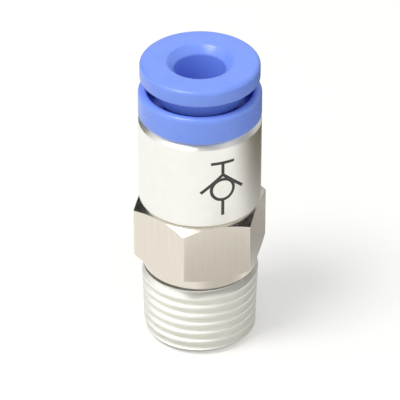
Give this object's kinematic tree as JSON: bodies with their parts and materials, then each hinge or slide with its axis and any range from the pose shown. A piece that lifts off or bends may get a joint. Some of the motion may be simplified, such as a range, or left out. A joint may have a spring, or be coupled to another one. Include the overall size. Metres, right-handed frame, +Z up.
{
  "type": "straight tube coupler",
  "caption": "Straight push-in coupler with a blue release button, a round nickel-plated barrel, a hexagon and a male taper thread, holding a spring check valve.",
  "frame": {"origin": "centre of the threaded end face, on which the coupler stands", "axes": "+Z up the axis to the tube mouth, +X to a corner of the hexagon, -Y square to a flat of the hexagon and through the flow sign"},
  "size_m": [0.0116, 0.0102, 0.0263],
  "materials": {
    "plated_brass": "satin nickel plate",
    "blue_resin": "moulded acetal resin, satin",
    "seal_rubber": "moulded nitrile rubber",
    "spring_steel": "bright stainless",
    "poppet_brass": "turned brass"
  },
  "bodies": {
    "housing": {"stud": "plated_brass", "barrel": "plated_brass", "barrel_o_ring": "seal_rubber", "guide_ring": "blue_resin", "claw_ring": "spring_steel", "tube_seal": "seal_rubber", "valve_spring": "spring_steel"},
    "release": {"release_button": "blue_resin"},
    "valve": {"valve_poppet": "poppet_brass", "poppet_seal": "seal_rubber"}
  },
  "joints": [
    {"name": "release_press", "type": "slide", "parent": "housing", "child": "release", "axis": [0, 0, -1], "range_m": [0, 0.00095], "stiffness_N_per_m": 2000, "springref_m": -0.0005, "deforming": ["claw_ring"]},
    {"name": "valve_lift", "type": "slide", "parent": "housing", "child": "valve", "axis": [0, 0, -1], "range_m": [0, 0.0012], "stiffness_N_per_m": 100, "springref_m": -0.002, "deforming": ["valve_spring"]}
  ]
}
